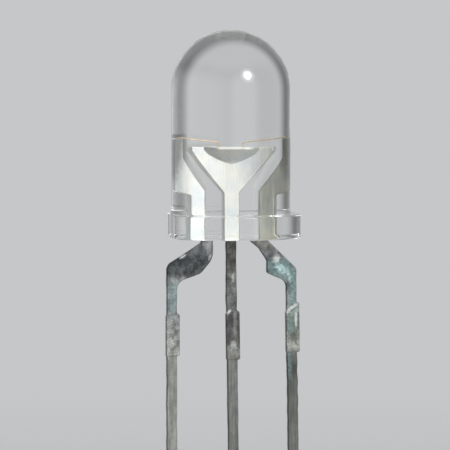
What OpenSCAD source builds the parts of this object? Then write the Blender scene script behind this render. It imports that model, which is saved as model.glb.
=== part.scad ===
// Clear two-colour light-emitting diode with three leads, in millimetres.
// The origin is on the optical axis, level with the underside of the flange. +Z runs up to
// the dome, +X runs along the row of leads, and the flat of the flange faces -X.

/* [Lens body] */
// Diameter of the barrel and of the dome
barrel_d = 5; // [3.8:0.1:6]
// Height from the underside of the flange to the top of the dome
body_h = 8.7; // [7.2:0.1:12]
// Diameter of the flange
flange_d = 5.86; // [5.4:0.02:7]
// Thickness of the flange
flange_h = 1; // [0.6:0.05:1.6]
// How far the flat of the flange stands outside the barrel
flat_gap = 0.02; // [0.01:0.01:0.15]
// Radius of the flange's two outer edges
flange_edge_r = 0.08; // [0.02:0.01:0.2]
// Radius of the inner corner where the barrel meets the flange
root_r = 0.08; // [0.02:0.01:0.15]
// Depth of the hollow that the resin's open surface sets with
dish_depth = 0.09; // [0.02:0.01:0.3]
// Width of the plain rim round that hollow, inside the flat
dish_rim = 0.3; // [0.1:0.05:0.6]
// How far the resin creeps down each lead
creep_h = 0.12; // [0.04:0.01:0.3]
// How much wider the creep is at its root than at the lead
creep_w = 0.17; // [0.05:0.01:0.3]

/* [Lead frame] */
// Thickness of the strip that all three leads are stamped from
strip_t = 0.4; // [0.3:0.02:0.6]
// Width of a lead outside the body
lead_w = 0.43; // [0.34:0.01:0.6]
// Distance between neighbouring leads
lead_pitch = 2.54; // [2:0.01:3]
// Length of the middle lead below the flange
common_len = 27.5; // [10:0.5:32]
// Length of the two outer leads below the flange
outer_len = 26.5; // [9:0.5:31]
// Radius of the stamped corners
stamp_r = 0.08; // [0.02:0.01:0.12]

/* [Middle lead inside the body] */
// Width of the stem inside the body
stem_w = 0.45; // [0.34:0.01:0.6]
// Height at which the stem starts to widen
shoulder_z = 1.9; // [1.6:0.05:2.2]
// Height of the flared head's top edge
head_z = 3.83; // [3.5:0.01:4.2]
// Width of the flared head at its top edge
head_w = 2.47; // [2.2:0.01:2.7]
// Height of the head's upright ends
head_side = 0.17; // [0.05:0.01:0.3]

/* [Reflector cup] */
// Outer radius of the cup's two round ends
cup_r = 0.5; // [0.44:0.01:0.6]
// Distance between the centres of the two round ends
cup_span = 0.68; // [0.5:0.01:0.8]
// Height of the cup's upright rim
cup_rim_h = 0.1; // [0.05:0.01:0.2]
// Height of the whole cup, whose foot lies inside the head
cup_h = 0.7; // [0.6:0.01:0.9]
// Radius of that foot's two round ends
cup_foot_r = 0.15; // [0.1:0.01:0.17]
// Thickness of the cup's wall at the rim
cup_wall = 0.07; // [0.04:0.01:0.1]
// Depth of the bowl
bowl_depth = 0.3; // [0.24:0.01:0.36]
// How much narrower the bowl's floor is than its mouth, on each side
bowl_slope = 0.16; // [0.08:0.01:0.18]

/* [Outer leads inside the body] */
// Gap between the stem and each outer lead
post_gap = 0.545; // [0.4:0.005:0.7]
// Width of an outer lead's upright
post_w = 0.485; // [0.36:0.005:0.55]
// Gap between the head's sloping side and the outer lead, square to both
flank_gap = 0.43; // [0.35:0.01:0.5]
// Gap between the head's corner and the outer lead's upper end
tip_gap = 0.322; // [0.2:0.002:0.4]
// Width of the outer lead's upper end
wing_w = 0.52; // [0.4:0.01:0.6]
// Height of the outer lead's upper end
wing_z = 4.18; // [3.95:0.01:4.6]
// Height at which the wide upper part leaves the upright
foot_z = 1.8; // [1.4:0.05:2.2]
// Rise of its lower edge towards the outside
foot_rise = 0.2; // [0:0.05:0.4]

/* [Left crank] */
// Depth of the outer elbow below the flange
left_elbow = 0.22; // [0.15:0.01:0.4]
// Slope of the outer edge below level
left_slope = 33.2; // [30:0.2:42]
// Depth at which the inner edge would leave the upright, but for its rounding
left_heel = 0.86; // [0.8:0.01:1.1]
// How far outside the upright's inner edge the inner corner lies
left_knee_x = 0.485; // [0.4:0.005:0.6]
// Depth of that inner corner
left_knee = 1.498; // [1.4:0.002:1.6]
// Depth of the inner edge's meeting with the straight leg
left_crotch = 1.86; // [1.8:0.005:2.1]
// How far the left leg stands inside its pitch
left_inset = 0.045; // [0:0.005:0.08]
// Radius of the left crank's wide bends
left_bend_r = 0.42; // [0.2:0.01:0.5]
// Radius of the bend in which its inner edge leaves the upright
left_heel_r = 0.7; // [0.4:0.05:0.8]

/* [Right crank] */
// Height of the outer elbow above the flange's underside
right_elbow = 0.155; // [0.1:0.005:0.3]
// Slope of the outer edge below level
right_slope = 44.3; // [40:0.1:50]
// Depth at which the inner edge leaves the upright
right_heel = 0.14; // [0.13:0.01:0.25]
// How far outside the upright's inner edge the first bend lies
right_bend_x = 0.42; // [0.3:0.01:0.48]
// Depth of the first bend
right_bend = 0.475; // [0.4:0.005:0.6]
// How far outside the upright's inner edge the flat of the knee lies
right_knee_x = 0.735; // [0.6:0.005:0.8]
// Depth of the upper end of that flat
right_knee_top = 1; // [0.9:0.01:1.1]
// Depth of the lower end of that flat
right_knee = 1.5; // [1.45:0.01:1.6]
// Depth of the inner edge's meeting with the straight leg
right_crotch = 1.84; // [1.8:0.01:2.1]
// Radius of the wide bend in that meeting
right_bend_r = 0.4; // [0.2:0.01:0.5]

/* [Tie-bar stubs] */
// Depth of each stub's upper edge below the flange
left_stub_z = 3.16; // [2.9:0.01:3.6]
common_stub_z = 3.04; // [2.9:0.01:3.6]
right_stub_z = 2.72; // [2.7:0.01:3.6]
// Height of each stub
left_stub_h = 1.81; // [1:0.01:2.5]
common_stub_h = 2.1; // [1:0.01:2.5]
right_stub_h = 2.11; // [1:0.01:2.5]
// How far each sheared upper edge drops across the lead
left_stub_drop = 0.12; // [0.05:0.01:0.5]
common_stub_drop = 0.17; // [0.05:0.01:0.5]
right_stub_drop = 0.4; // [0.05:0.01:0.5]
// How far the sheared stub stands out on the +X side
stub_out = 0.11; // [0.04:0.01:0.2]
// How far it stands out on the -X side
stub_in = 0.025; // [0.01:0.005:0.08]
// Radius of the stub's corners on the +X side
stub_corner_r = 0.1; // [0.04:0.01:0.12]
// Radius of the right stub's sharper upper corner
right_stub_tip_r = 0.035; // [0.01:0.005:0.1]
// How far the squeezed metal stands proud of the lead's faces
stub_proud = 0.02; // [0.01:0.005:0.05]

/* [Lean of the straight legs] */
// Depth at which the middle leg starts to lean
common_lean_z = 1.1; // [0.5:0.05:2.7]
// Lean of the middle leg towards +X, in degrees
common_lean = 0.75; // [0:0.05:1.5]
// Depth at which the right leg starts to lean
right_lean_z = 2.65; // [2.3:0.05:2.7]
// Lean of the right leg towards +X, in degrees
right_lean = 0.85; // [0:0.05:1.5]

/* [Dies] */
// Side of the square dies
die_w = 0.25; // [0.18:0.01:0.26]
// Height of the dies
die_h = 0.21; // [0.14:0.01:0.25]
// Distance between the dies' centres
die_span = 0.68; // [0.56:0.01:0.74]
// Thickness of the silver glue under a die
glue_t = 0.015; // [0.01:0.005:0.03]
// How far the glue climbs up the die's sides
glue_climb = 0.035; // [0.02:0.005:0.06]
// How far the glue spreads past the die's corners
glue_spread = 0.025; // [0.015:0.005:0.04]
// Diameter of the metal pad on a die
pad_d = 0.12; // [0.1:0.01:0.16]
// Thickness of that pad
pad_t = 0.008; // [0.004:0.001:0.015]

/* [Bond wires] */
// Diameter of the gold wire
wire_d = 0.04; // [0.03:0.002:0.05]
// Diameter of the ball that is pressed onto the pad
ball_d = 0.095; // [0.08:0.005:0.1]
// Height of that ball
ball_h = 0.035; // [0.025:0.005:0.05]
// Height of the wire's first bend above the head's top edge
bend_rise = 0.2; // [0.12:0.01:0.25]
// Height of its level stretch above that bend
level_rise = 0.08; // [0.04:0.01:0.12]
// Height of its end above the outer lead's upper end
loop_rise = 0.04; // [0.03:0.01:0.12]
// Length of the flattened end on the outer lead
stitch_len = 0.16; // [0.1:0.01:0.2]
// How far the flattened end reaches past the inner edge of the outer lead's upper end
stitch_reach = 0.28; // [0.22:0.01:0.36]

/* [Hidden] */

smooth = 96;
fine = 48;
arc_steps = 5;
left = -1;
right = 1;
// How far the creep's cones reach into the resin, and stand off a lead's corners.
creep_bite = 0.01;

barrel_r = barrel_d / 2;
flange_r = flange_d / 2;
dome_z = body_h - barrel_r;
flat_x = barrel_r + flat_gap;
dish_r = flat_x - dish_rim;
dish_steps = 6;

post_in = stem_w / 2 + post_gap;
post_out = post_in + post_w;
wing_in = head_w / 2 + tip_gap;
wing_out = wing_in + wing_w;
leg_in = lead_pitch - lead_w / 2;
leg_out = lead_pitch + lead_w / 2;
left_leg_in = leg_in - left_inset;
left_leg_out = leg_out - left_inset;

// The outer leads' sloping edge is the head's own side, moved out by flank_gap.
flank_dx = (head_w - stem_w) / 2;
flank_dz = head_z - head_side - shoulder_z;
flank_len = norm([flank_dx, flank_dz]);
function flank_z(x) = shoulder_z + ((x - stem_w / 2) * flank_dz - flank_gap * flank_len) / flank_dx;

// The lead's width and middle where it leaves the resin.
right_exit_in = post_in;
right_exit_out = post_out + right_elbow / tan(right_slope);

bowl_mouth_r = cup_r - cup_wall;
bowl_floor_r = bowl_mouth_r - bowl_slope;
bowl_floor_z = head_z - bowl_depth;
cup_rim_z = head_z - cup_rim_h;
cup_foot_z = head_z - cup_h;

die_z = bowl_floor_z + glue_t;
die_top_z = die_z + die_h;
pad_top_z = die_top_z + pad_t;
die_corner_r = die_w / sqrt(2);
glue_top_r = die_corner_r + glue_spread / 2;
glue_foot_r = die_corner_r + glue_spread;

wire_r = wire_d / 2;
wire_sides = 8;
loop_steps = 6;
// The ball's flat faces, the first bend's radius and the run down to the flattened end.
ball_face_r = ball_d / 2.4;
bend_r = 1.75 * wire_d;
wire_taper = 3 * wire_d;
// Half the height and half the width of the flattened end.
flat_half = wire_d / 4;
flat_wide = 0.8 * wire_d;
// From a swept ring's corner radius to the distance of its flat sides.
ring_flat = cos(180 / wire_sides);

function unit(v) = v / norm(v);

// The points that round corner b, between a and c, with radius r.
function corner(a, b, c, r) =
    let (
        u = unit(a - b),
        v = unit(c - b),
        half = acos(u * v) / 2,
        middle = b + unit(u + v) * r / sin(half),
        from = b + u * r / tan(half) - middle,
        to = b + v * r / tan(half) - middle,
        start = atan2(from.y, from.x),
        turn = (atan2(to.y, to.x) - start + 540) % 360 - 180
    )
    [
        for (i = [0 : arc_steps])
            let (angle = start + turn * i / arc_steps)
            middle + r * [cos(angle), sin(angle)]
    ];

// An outline from corners given as [x, z, radius], where radius 0 leaves the corner sharp.
function outline(corners) =
    let (n = len(corners))
    [
        for (i = [0 : n - 1])
            let (
                a = corners[(i + n - 1) % n],
                b = corners[i],
                c = corners[(i + 1) % n]
            )
            each b[2] > 0
                ? corner([a.x, a.y], [b.x, b.y], [c.x, c.y], b[2])
                : [[b.x, b.y]]
    ];

// Points deeper than from_z move sideways by the tangent of the lean.
function leant(points, from_z, lean) = [
    for (p = points) [p.x + max(0, -from_z - p.y) * tan(lean), p.y]
];

function mirrored(corners, side) = [for (p = corners) [side * p.x, p.y, p[2]]];

// The part of an outer lead that is the same on both sides, from the sloping edge round
// to the upright's outer edge. x counts outwards from the axis.
function wing_corners() = [
    [post_in, flank_z(post_in), stamp_r],
    [wing_in, flank_z(wing_in), stamp_r],
    [wing_in, wing_z, stamp_r / 2],
    [wing_out, wing_z, stamp_r],
    [wing_out, foot_z + foot_rise, stamp_r],
    [post_out, foot_z, stamp_r],
];

function tip_corners(inside, outside) = [
    [outside, -outer_len, stamp_r / 2],
    [inside, -outer_len, stamp_r / 2],
];

function left_corners() = concat(
    wing_corners(),
    [
        [post_out, -left_elbow, 2 * stamp_r],
        [left_leg_out, -left_elbow - (left_leg_out - post_out) * tan(left_slope), left_bend_r],
    ],
    tip_corners(left_leg_in, left_leg_out),
    [
        [left_leg_in, -left_crotch, left_bend_r],
        [post_in + left_knee_x, -left_knee, left_bend_r],
        [post_in, -left_heel, left_heel_r],
    ]
);

function right_corners() = concat(
    wing_corners(),
    [
        [post_out, right_elbow, 2 * stamp_r],
        [leg_out, right_elbow - (leg_out - post_out) * tan(right_slope), 3 * stamp_r],
        [leg_out, -right_lean_z, 0],
    ],
    tip_corners(leg_in, leg_out),
    [
        [leg_in, -right_lean_z, 0],
        [leg_in, -right_crotch, right_bend_r],
        [post_in + right_knee_x, -right_knee, 1.5 * stamp_r],
        [post_in + right_knee_x, -right_knee_top, 2 * stamp_r],
        [post_in + right_bend_x, -right_bend, 2 * stamp_r],
        [post_in, -right_heel, 2 * stamp_r],
    ]
);

function common_corners() = [
    [-head_w / 2, head_z, stamp_r / 2],
    [head_w / 2, head_z, stamp_r / 2],
    [head_w / 2, head_z - head_side, stamp_r / 2],
    [stem_w / 2, shoulder_z, 2 * stamp_r],
    [stem_w / 2, 0, 0],
    [lead_w / 2, 0, 0],
    [lead_w / 2, -common_lean_z, 0],
    [lead_w / 2, -common_len, stamp_r / 2],
    [-lead_w / 2, -common_len, stamp_r / 2],
    [-lead_w / 2, -common_lean_z, 0],
    [-lead_w / 2, 0, 0],
    [-stem_w / 2, 0, 0],
    [-stem_w / 2, shoulder_z, 2 * stamp_r],
    [-head_w / 2, head_z - head_side, stamp_r / 2],
];

// A tie bar was sheared off here, so the stub is wider than the lead and its top slants.
function stub_corners(x, top, height, drop, tip_r) = [
    [x - lead_w / 2 - stub_in, -top - drop, 0],
    [x + lead_w / 2 + stub_out, -top, tip_r],
    [x + lead_w / 2 + stub_out, -top - height, stub_corner_r],
    [x - lead_w / 2 - stub_in, -top - height, 0],
];

// Stamps an outline in the X-Z plane out of a sheet of thickness t.
module stamped(points, t) {
    rotate([90, 0, 0])
        linear_extrude(height = t, center = true)
            polygon(points);
}

module stub(corners, from_z = 0, lean = 0) {
    stamped(leant(outline(corners), from_z, lean), strip_t + 2 * stub_proud);
}

// A shape of revolution with its two halves pulled cup_span apart, filled between.
module stretched_revolve() {
    for (side = [left, right])
        translate([side * cup_span / 2, 0, 0])
            rotate_extrude($fn = fine) children();
    rotate([90, 0, 90])
        linear_extrude(height = cup_span, center = true) {
            children();
            mirror([1, 0, 0]) children();
        }
}

// Half section of the cup's outside: an upright rim on a cone.
module cup_section() {
    polygon([
        [0, cup_foot_z],
        [cup_foot_r, cup_foot_z],
        [cup_r, cup_rim_z],
        [cup_r, head_z],
        [0, head_z],
    ]);
}

// Half section of the bowl, from below its floor to above its mouth.
module bowl_section() {
    polygon([
        [0, bowl_floor_z],
        [bowl_floor_r, bowl_floor_z],
        [bowl_mouth_r, head_z],
        [bowl_mouth_r, head_z + bowl_depth],
        [0, head_z + bowl_depth],
    ]);
}

module common_lead() {
    color("gainsboro") {
        difference() {
            union() {
                stamped(leant(outline(common_corners()), common_lean_z, common_lean), strip_t);
                stretched_revolve() cup_section();
            }
            stretched_revolve() bowl_section();
        }
        stub(
            stub_corners(0, common_stub_z, common_stub_h, common_stub_drop, stub_corner_r),
            common_lean_z,
            common_lean
        );
    }
}

module left_lead() {
    color("silver") {
        stamped(outline(mirrored(left_corners(), left)), strip_t);
        stub(stub_corners(
            left * (lead_pitch - left_inset), left_stub_z, left_stub_h, left_stub_drop, stub_corner_r
        ));
    }
}

module right_lead() {
    color("silver") {
        stamped(leant(outline(right_corners()), right_lean_z, right_lean), strip_t);
        stub(
            stub_corners(lead_pitch, right_stub_z, right_stub_h, right_stub_drop, right_stub_tip_r),
            right_lean_z,
            right_lean
        );
    }
}

module die_block(side) {
    translate([side * die_span / 2 - die_w / 2, -die_w / 2, die_z])
        cube([die_w, die_w, die_h]);
}

module die(side) {
    die_block(side);
    translate([side * die_span / 2, 0, die_top_z])
        cylinder(h = pad_t, d = pad_d, $fn = 12);
}

module left_die() {
    color("goldenrod") die(left);
}

module right_die() {
    color("khaki") die(right);
}

// A dot of glue that carries the die and climbs a little up its sides.
module glue_dot(side) {
    difference() {
        translate([side * die_span / 2, 0, bowl_floor_z])
            cylinder(h = glue_t + glue_climb, r1 = glue_foot_r, r2 = glue_top_r, $fn = fine);
        die_block(side);
    }
}

module left_die_glue() {
    color("lightgray") glue_dot(left);
}

module right_die_glue() {
    color("lightgray") glue_dot(right);
}

// The wire's stations as [x, z, half width, half height], with x outwards from the axis:
// the pressed ball, its neck, the loop and the flattened end.
stitch_x = wing_in + stitch_reach;
loop_to = stitch_x - stitch_len - wire_taper;
bend_z = head_z + bend_rise;
level_z = bend_z + level_rise;
function loop_z(s) = level_z - level_rise * pow(1 - s, 3) + (wing_z + loop_rise - level_z) * pow(s, 3);
stitch_mid_z = wing_z + flat_half * ring_flat;
wire_stations = concat(
    [
        [die_span / 2, pad_top_z, ball_face_r, ball_face_r],
        [die_span / 2, pad_top_z + ball_h / 2, ball_d / 2, ball_d / 2],
        [die_span / 2, pad_top_z + ball_h, ball_face_r, ball_face_r],
        [die_span / 2, pad_top_z + ball_h + wire_r / 2, wire_r, wire_r],
        [die_span / 2, bend_z - bend_r, wire_r, wire_r],
        [die_span / 2 + bend_r * (1 - cos(45)), bend_z - bend_r * (1 - sin(45)), wire_r, wire_r],
    ],
    [
        for (i = [0 : loop_steps])
            let (s = i / loop_steps)
            [die_span / 2 + bend_r + (loop_to - die_span / 2 - bend_r) * s, loop_z(s), wire_r, wire_r]
    ],
    [
        [loop_to + wire_taper / 2, wing_z + 2 * wire_r, wire_r, wire_r],
        [loop_to + wire_taper, stitch_mid_z, flat_wide, flat_half],
        [stitch_x, stitch_mid_z, flat_wide, flat_half],
    ]
);

// A tube through the stations, in the X-Z plane, with one ring of wire_sides points each.
module bond_wire(side) {
    last = len(wire_stations) - 1;
    function place(i) = [side * wire_stations[i].x, 0, wire_stations[i].y];
    function along(i) =
        i == 0 ? [0, 0, 1]
        : i > last - 2 ? [side, 0, 0]
        : unit(place(i + 1) - place(i - 1));
    rings = [
        for (i = [0 : last])
            let (
                w = wire_stations[i],
                up = cross(along(i), [0, -side, 0])
            )
            for (k = [0 : wire_sides - 1])
                let (turn = 360 * (k + 0.5) / wire_sides)
                place(i) + w[2] * cos(turn) * [0, side, 0] + w[3] * sin(turn) * up
    ];
    sides = [
        for (i = [0 : last - 1], k = [0 : wire_sides - 1])
            let (
                a = i * wire_sides + k,
                b = i * wire_sides + (k + 1) % wire_sides
            )
            each [[a, a + wire_sides, b], [b, a + wire_sides, b + wire_sides]]
    ];
    ends = [
        [for (k = [0 : wire_sides - 1]) k],
        [for (k = [wire_sides - 1 : -1 : 0]) last * wire_sides + k],
    ];
    polyhedron(rings, concat(sides, ends));
}

module left_bond_wire() {
    color("gold") bond_wire(left);
}

module right_bond_wire() {
    color("gold") bond_wire(right);
}

// Half section of the barrel and its round dome.
module barrel_section() {
    square([barrel_r, dome_z]);
    intersection() {
        translate([0, dome_z]) circle(barrel_r, $fn = smooth);
        translate([0, dome_z]) square([barrel_r, barrel_r]);
    }
}

// Half section of the flange with rounded outer edges.
module flange_section() {
    straight = flange_r - flange_edge_r;
    square([straight, flange_h]);
    translate([0, flange_edge_r]) square([flange_r, flange_h - 2 * flange_edge_r]);
    for (z = [flange_edge_r, flange_h - flange_edge_r])
        translate([straight, z]) circle(flange_edge_r, $fn = fine);
}

// Half section of the small fillet between barrel and flange.
module root_section() {
    difference() {
        translate([barrel_r - root_r, flange_h - root_r]) square([2 * root_r, 2 * root_r]);
        translate([barrel_r + root_r, flange_h + root_r]) circle(root_r, $fn = fine);
    }
}

// The hollow under the body: its depth falls off with the square of the radius.
module dish() {
    rotate_extrude($fn = smooth)
        polygon(concat(
            [[0, -creep_h]],
            [[dish_r, -creep_h]],
            [
                for (i = [dish_steps : -1 : 0])
                    let (r = dish_r * i / dish_steps)
                    [r, dish_depth * (1 - pow(r / dish_r, 2))]
            ]
        ));
}

// The resin that climbs a lead whose width runs from x0 to x1.
module creep(x0, x1) {
    foot_r = norm([x1 - x0, strip_t]) / 2 + creep_bite;
    translate([(x0 + x1) / 2, 0, -creep_h])
        cylinder(h = creep_h + dish_depth + creep_bite, r1 = foot_r, r2 = foot_r + creep_w, $fn = fine);
}

module lens_outside() {
    difference() {
        union() {
            rotate_extrude($fn = smooth) {
                barrel_section();
                flange_section();
                root_section();
            }
        }
        translate([-flat_x - flange_d, -flange_d, -flange_h])
            cube([flange_d, 2 * flange_d, body_h]);
        dish();
    }
    creep(-post_out, -post_in);
    creep(-stem_w / 2, stem_w / 2);
    creep(right_exit_in, right_exit_out);
}

// The resin is cast round everything else, so all of it is cut out at its own size.
module lens_body() {
    color("azure", 0.35)
        difference() {
            lens_outside();
            common_lead();
            left_lead();
            right_lead();
            for (side = [left, right]) {
                glue_dot(side);
                die(side);
                bond_wire(side);
            }
        }
}

lens_body();
common_lead();
left_lead();
right_lead();
left_die_glue();
right_die_glue();
left_die();
right_die();
left_bond_wire();
right_bond_wire();
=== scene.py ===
# Water-clear two-colour LED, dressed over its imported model. Metres, Z up, the camera on the -Y side.
import math

import bpy
import numpy as np
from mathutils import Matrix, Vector


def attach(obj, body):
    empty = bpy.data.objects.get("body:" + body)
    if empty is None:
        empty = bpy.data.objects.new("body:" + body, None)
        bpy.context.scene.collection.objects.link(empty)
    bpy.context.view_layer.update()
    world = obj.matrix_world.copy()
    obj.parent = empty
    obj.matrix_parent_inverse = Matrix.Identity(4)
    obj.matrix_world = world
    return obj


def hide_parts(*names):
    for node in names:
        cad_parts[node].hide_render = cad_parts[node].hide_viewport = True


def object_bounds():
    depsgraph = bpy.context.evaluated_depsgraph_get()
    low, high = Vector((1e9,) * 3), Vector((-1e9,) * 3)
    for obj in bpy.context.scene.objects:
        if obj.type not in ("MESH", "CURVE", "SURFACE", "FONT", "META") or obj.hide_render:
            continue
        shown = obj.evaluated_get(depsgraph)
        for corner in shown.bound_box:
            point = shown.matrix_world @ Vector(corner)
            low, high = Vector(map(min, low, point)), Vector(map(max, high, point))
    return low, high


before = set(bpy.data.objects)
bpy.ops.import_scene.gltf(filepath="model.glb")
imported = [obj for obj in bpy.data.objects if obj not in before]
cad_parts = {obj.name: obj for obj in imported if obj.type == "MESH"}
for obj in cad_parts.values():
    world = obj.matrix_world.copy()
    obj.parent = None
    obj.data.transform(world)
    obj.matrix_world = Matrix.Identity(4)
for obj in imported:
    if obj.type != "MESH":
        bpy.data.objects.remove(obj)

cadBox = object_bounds()
mm = 0.001  # shapes below are in millimetres, as on a drawing, and turned into metres in makePiece
print("frame loaded")


# Mesh helpers

# A closed skin from a grid of rings. Each row is a ring that closes on itself and quads join
# neighbouring rows. An end is shut by a fan to the ring's middle, or by one flat face.
def ringSkin(rings, firstEnd="face", lastEnd="face"):
    rows, columns = rings.shape[:2]
    points = rings.reshape(-1, 3)
    here = np.arange(columns)
    beside = np.roll(here, -1)
    start = np.arange(rows - 1)[:, None] * columns
    quads = np.stack(
        [start + here, start + beside, start + columns + beside, start + columns + here], axis=-1
    ).reshape(-1, 4)
    faces = quads.tolist()
    flat = [False] * len(faces)
    for end, offset in ((firstEnd, 0), (lastEnd, (rows - 1) * columns)):
        if end == "face":
            ring = here[::-1] if offset == 0 else here
            faces.append((ring + offset).tolist())
            flat.append(True)
            continue
        middle = len(points)
        points = np.vstack([points, points[offset:offset + columns].mean(axis=0)])
        pair = (beside, here) if offset == 0 else (here, beside)
        fan = np.stack([pair[0] + offset, pair[1] + offset, np.full(columns, middle)], axis=-1)
        faces += fan.tolist()
        flat += [False] * columns
    return points, faces, flat


# Six times the volume that a skin shuts in, by the sum of its faces' triple products.
def signedVolume(points, faces):
    total = 0.0
    for face in faces:
        p = points[face]
        total += np.einsum("ij,ij->", np.cross(p[1:-1], p[2:]), np.broadcast_to(p[0], (len(face) - 2, 3)))
    return total


# One object from any number of closed skins, that rides on the one body. A skin whose volume comes out
# negative has all its faces turned over, so that they point outwards.
def makePiece(name, skins, material, replaced=(), sharpDegrees=35):
    points, faces, flat = [], [], []
    for skinPoints, skinFaces, skinFlat in skins:
        turn = signedVolume(skinPoints, skinFaces) < 0
        offset = sum(len(p) for p in points)
        faces += [[k + offset for k in (face[::-1] if turn else face)] for face in skinFaces]
        points.append(skinPoints)
        flat += skinFlat
    mesh = bpy.data.meshes.new(name)
    mesh.from_pydata((np.vstack(points) * mm).tolist(), [], faces)
    mesh.set_sharp_from_angle(angle=math.radians(sharpDegrees))
    mesh.polygons.foreach_set("use_smooth", np.logical_not(flat))
    mesh.materials.append(material)
    mesh.validate()
    mesh.update()
    piece = bpy.data.objects.new(name, mesh)
    bpy.context.scene.collection.objects.link(piece)
    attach(piece, "root")
    if replaced:
        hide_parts(*replaced)
    return piece


# The corners [x, z, radius] of a stamped outline, each rounded by an arc that touches both its sides: the
# arc's middle is on the bisector, at the radius over the sine of half the corner's angle.
def roundedOutline(corners, steps=6):
    corners = [np.array(c, float) for c in corners]
    outline = []
    for before, corner, after in zip(corners[-1:] + corners[:-1], corners, corners[1:] + corners[:1]):
        radius = corner[2]
        if radius == 0:
            outline.append(corner[:2])
            continue
        u = before[:2] - corner[:2]
        v = after[:2] - corner[:2]
        u, v = u / np.linalg.norm(u), v / np.linalg.norm(v)
        half = math.acos(np.clip(u @ v, -1, 1)) / 2
        bisector = (u + v) / np.linalg.norm(u + v)
        middle = corner[:2] + bisector * radius / math.sin(half)
        arm = corner[:2] + u * radius / math.tan(half) - middle
        arm2 = corner[:2] + v * radius / math.tan(half) - middle
        first = math.atan2(arm[1], arm[0])
        turn = (math.atan2(arm2[1], arm2[0]) - first + 3 * math.pi) % (2 * math.pi) - math.pi
        angles = first + turn * np.linspace(0, 1, steps + 1)
        outline += list(middle + radius * np.stack([np.cos(angles), np.sin(angles)], axis=1))
    return np.array(outline)


# The outline with points added along its straights, so that no step is longer than spacing.
def refined(outline, spacing):
    following = np.roll(outline, -1, axis=0)
    counts = np.maximum(1, np.ceil(np.linalg.norm(following - outline, axis=1) / spacing)).astype(int)
    owner = np.repeat(np.arange(len(outline)), counts)
    part = np.concatenate([np.arange(n) / n for n in counts])[:, None]
    return outline[owner] * (1 - part) + following[owner] * part


# Unit normals of a closed outline: the step from the point before to the point after, turned by a right
# angle, and turned over where the outline runs clockwise, so that they point outwards.
def outlineNormals(outline):
    along = np.roll(outline, -1, axis=0) - np.roll(outline, 1, axis=0)
    normals = np.stack([along[:, 1], -along[:, 0]], axis=1)
    normals /= np.linalg.norm(normals, axis=1)[:, None]
    following = np.roll(outline, -1, axis=0)
    area = (outline[:, 0] * following[:, 1] - following[:, 0] * outline[:, 1]).sum()
    return normals if area > 0 else -normals


# A sheet stamped to an outline in the X-Z plane: each ring is the outline moved inwards, and the rings
# follow a quarter circle from the front face to the side and another from the side to the back.
def stampedSkin(outline, thickness, edgeRadius, edgeSteps=4):
    normals = outlineNormals(outline)
    quarter = np.linspace(0, math.pi / 2, edgeSteps + 1)
    inset = edgeRadius * (1 - np.sin(quarter))
    depth = thickness / 2 - edgeRadius * (1 - np.cos(quarter))
    inset = np.concatenate([inset, inset[::-1]])
    depth = np.concatenate([-depth, depth[::-1]])
    flat = outline[None] - normals[None] * inset[:, None, None]
    rings = np.stack([flat[..., 0], np.broadcast_to(depth[:, None], flat.shape[:2]), flat[..., 1]], axis=-1)
    return ringSkin(rings)


# A section [radius, z, half span] carried round a stadium: two half circles, a half span out each way.
def stadiumSkin(section, columns=96):
    angle = (np.arange(columns) + 0.5) * 2 * math.pi / columns
    radius, halfSpan = section[:, 0][:, None], section[:, 2][:, None]
    x = radius * np.cos(angle) + np.sign(np.cos(angle)) * halfSpan
    y = radius * np.sin(angle)
    return ringSkin(np.stack([x, y, np.broadcast_to(section[:, 1][:, None], x.shape)], axis=-1))


# Points on an arc of an [x, z] section, angles in degrees.
def arc(middle, radius, first, last, steps):
    angle = np.radians(np.linspace(first, last, steps + 1))
    return np.stack([middle[0] + radius * np.cos(angle), middle[1] + radius * np.sin(angle)], axis=1)


# Node helpers

# A shader node, with each input linked to a socket or set to a value.
def node(tree, kind, inputs=None, **settings):
    made = tree.nodes.new("ShaderNode" + kind)
    for key, value in settings.items():
        setattr(made, key, value)
    for key, value in (inputs or {}).items():
        if isinstance(value, bpy.types.NodeSocket):
            tree.links.new(value, made.inputs[key])
        else:
            made.inputs[key].default_value = value
    return made


# A material with an empty node tree.
def newMaterial(name):
    material = bpy.data.materials.new(name)
    material.use_nodes = True
    material.node_tree.nodes.clear()
    return material, material.node_tree


# Object coordinates in millimetres, with the pattern stretched by the three factors.
def coordinates(tree, stretch=(1, 1, 1)):
    place = node(tree, "TexCoord").outputs["Object"]
    scale = tuple(s / mm for s in stretch)
    return node(tree, "Mapping", {"Vector": place, "Scale": scale}, vector_type="POINT").outputs[0]


# Fractal noise from 0 to 1, with scale cells to the millimetre.
def noise(tree, place, scale, detail=4, roughness=0.55):
    return node(
        tree, "TexNoise", {"Vector": place, "Scale": scale, "Detail": detail, "Roughness": roughness}
    ).outputs["Fac"]


# A value run from low..high to outLow..outHigh, smoothly.
def smooth(tree, value, low, high, outLow=0.0, outHigh=1.0):
    return node(
        tree, "MapRange",
        {"Value": value, "From Min": low, "From Max": high, "To Min": outLow, "To Max": outHigh},
        interpolation_type="SMOOTHSTEP",
    ).outputs[0]


# Noise turned into values from dark to pale, over a reach either side of its middle value.
def spread(tree, pattern, dark, pale, reach=0.16):
    return smooth(tree, pattern, 0.5 - reach, 0.5 + reach, dark, pale)


# One step of arithmetic on two values.
def sums(tree, operation, a, b):
    return node(tree, "Math", {0: a, 1: b}, operation=operation).outputs[0]


# Product of two values.
def times(tree, a, b):
    return sums(tree, "MULTIPLY", a, b)


# Value a where the factor is 0 and b where it is 1.
def blended(tree, factor, a, b):
    return node(tree, "Mix", {0: factor, 2: a, 3: b}).outputs[0]


# Colour a where the factor is 0 and b where it is 1.
def mixed(tree, factor, a, b):
    return node(tree, "Mix", {0: factor, 6: a, 7: b}, data_type="RGBA").outputs[2]


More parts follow.
